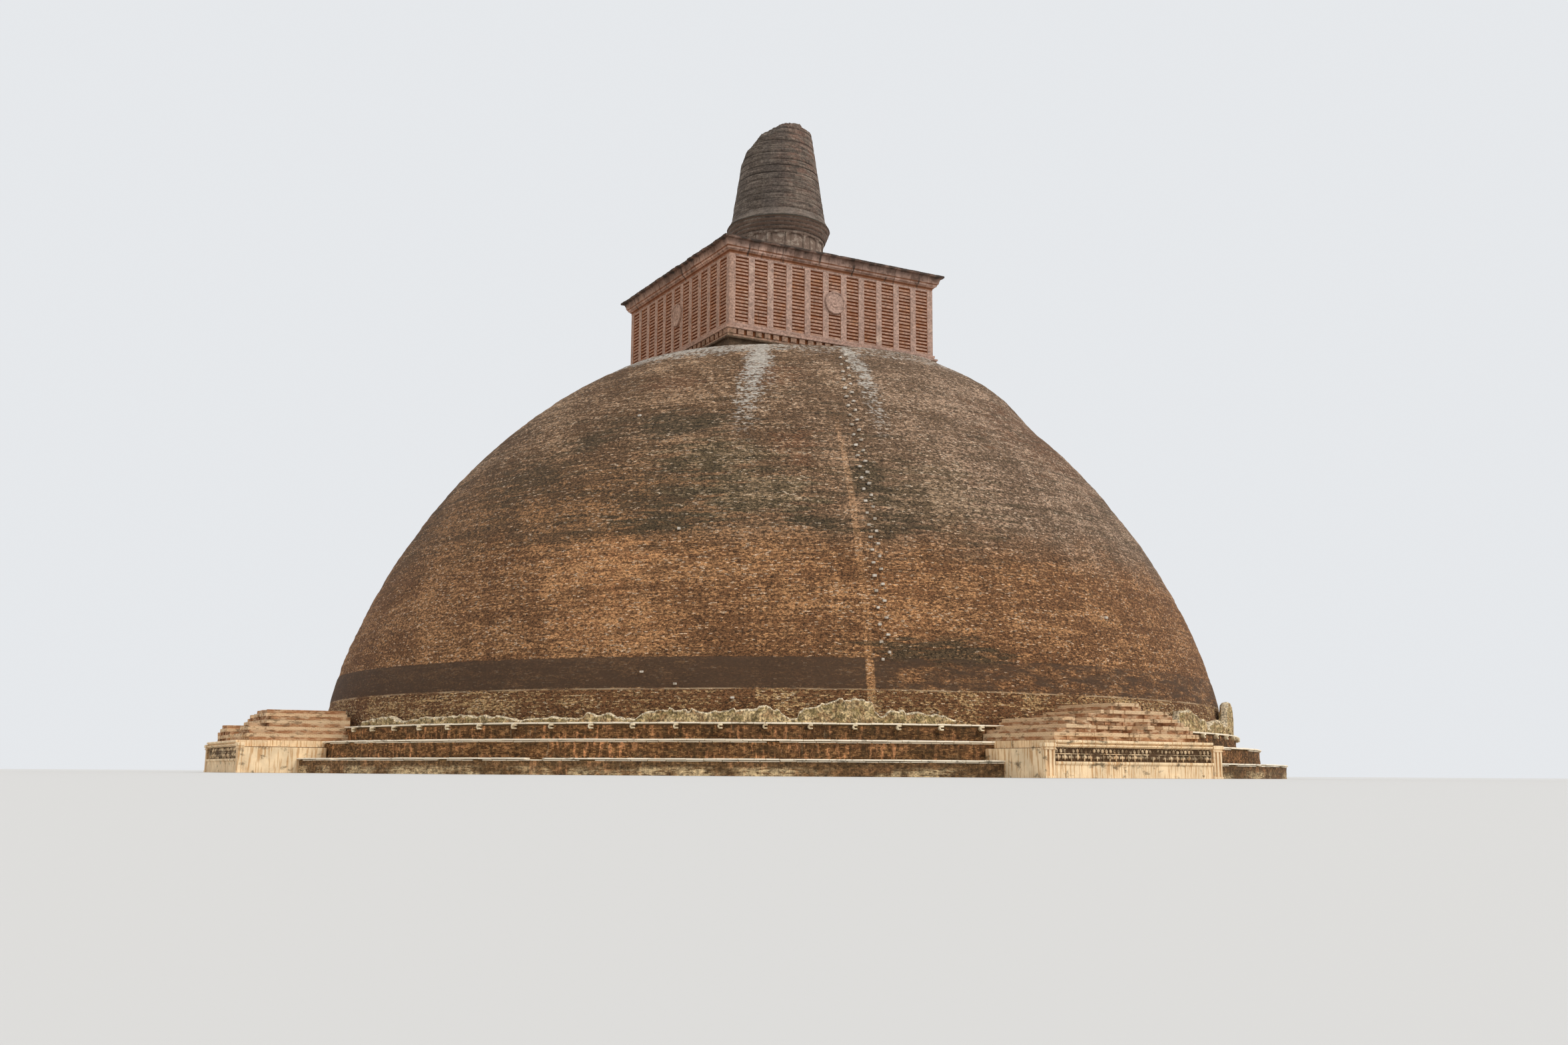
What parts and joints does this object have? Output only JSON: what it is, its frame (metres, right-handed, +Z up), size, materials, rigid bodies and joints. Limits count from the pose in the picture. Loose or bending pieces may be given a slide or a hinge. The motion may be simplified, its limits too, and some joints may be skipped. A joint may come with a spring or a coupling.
{
  "type": "stupa, 1:10 scale model",
  "caption": "Great brick stupa as a scale model: round terraces with frontispieces, a tall dome, a square railed chamber, and a drum with a broken ringed spire.",
  "frame": {"origin": "on the ground under the dome's axis, at the bottom centre of the whole model", "axes": "+Z up along the dome's axis; -Y towards the front frontispiece, +X towards the right frontispiece"},
  "size_m": [11.524, 11.524, 7.5045],
  "materials": {
    "terrace_brick": "weathered dark red-brown brick",
    "dome_brick": "weathered brown brick in fine level courses, with grey stains and lime streaks",
    "chamber_brick": "pink terracotta brick and plaster with dark rain stains",
    "drum_brick": "beige plastered brick",
    "spire_brick": "grey-brown ringed brickwork, redder on the sheltered side",
    "pale_stone": "pale limestone with ochre stains",
    "lime_masonry": "crumbling lime plaster on rubble"
  },
  "bodies": {
    "root": {"lower_terrace": "terrace_brick", "middle_terrace": "terrace_brick", "upper_terrace": "terrace_brick", "dome": "dome_brick", "chamber_plinth": "chamber_brick", "chamber_tooth_course": "chamber_brick", "chamber_lower_band": "chamber_brick", "chamber_railed_core": "chamber_brick", "chamber_front_posts": "chamber_brick", "chamber_right_posts": "chamber_brick", "chamber_back_posts": "chamber_brick", "chamber_left_posts": "chamber_brick", "chamber_front_medallion": "chamber_brick", "chamber_right_medallion": "chamber_brick", "chamber_back_medallion": "chamber_brick", "chamber_left_medallion": "chamber_brick", "chamber_cornice_step": "chamber_brick", "chamber_cornice_slab": "chamber_brick", "drum": "drum_brick", "spire_corbels": "drum_brick", "spire": "spire_brick", "front_frontispiece_plinth": "pale_stone", "front_frontispiece_mouldings": "pale_stone", "front_frontispiece_tower": "terrace_brick", "front_stele_left": "pale_stone", "front_stele_right": "pale_stone", "front_old_masonry": "lime_masonry", "right_frontispiece_plinth": "pale_stone", "right_frontispiece_mouldings": "pale_stone", "right_frontispiece_tower": "terrace_brick", "right_stele_left": "pale_stone", "right_stele_right": "pale_stone", "right_old_masonry": "lime_masonry", "back_frontispiece_plinth": "pale_stone", "back_frontispiece_mouldings": "pale_stone", "back_frontispiece_tower": "terrace_brick", "back_stele_left": "pale_stone", "back_stele_right": "pale_stone", "back_old_masonry": "lime_masonry", "left_frontispiece_plinth": "pale_stone", "left_frontispiece_mouldings": "pale_stone", "left_frontispiece_tower": "terrace_brick", "left_stele_left": "pale_stone", "left_stele_right": "pale_stone", "left_old_masonry": "lime_masonry"}
  },
  "joints": []
}
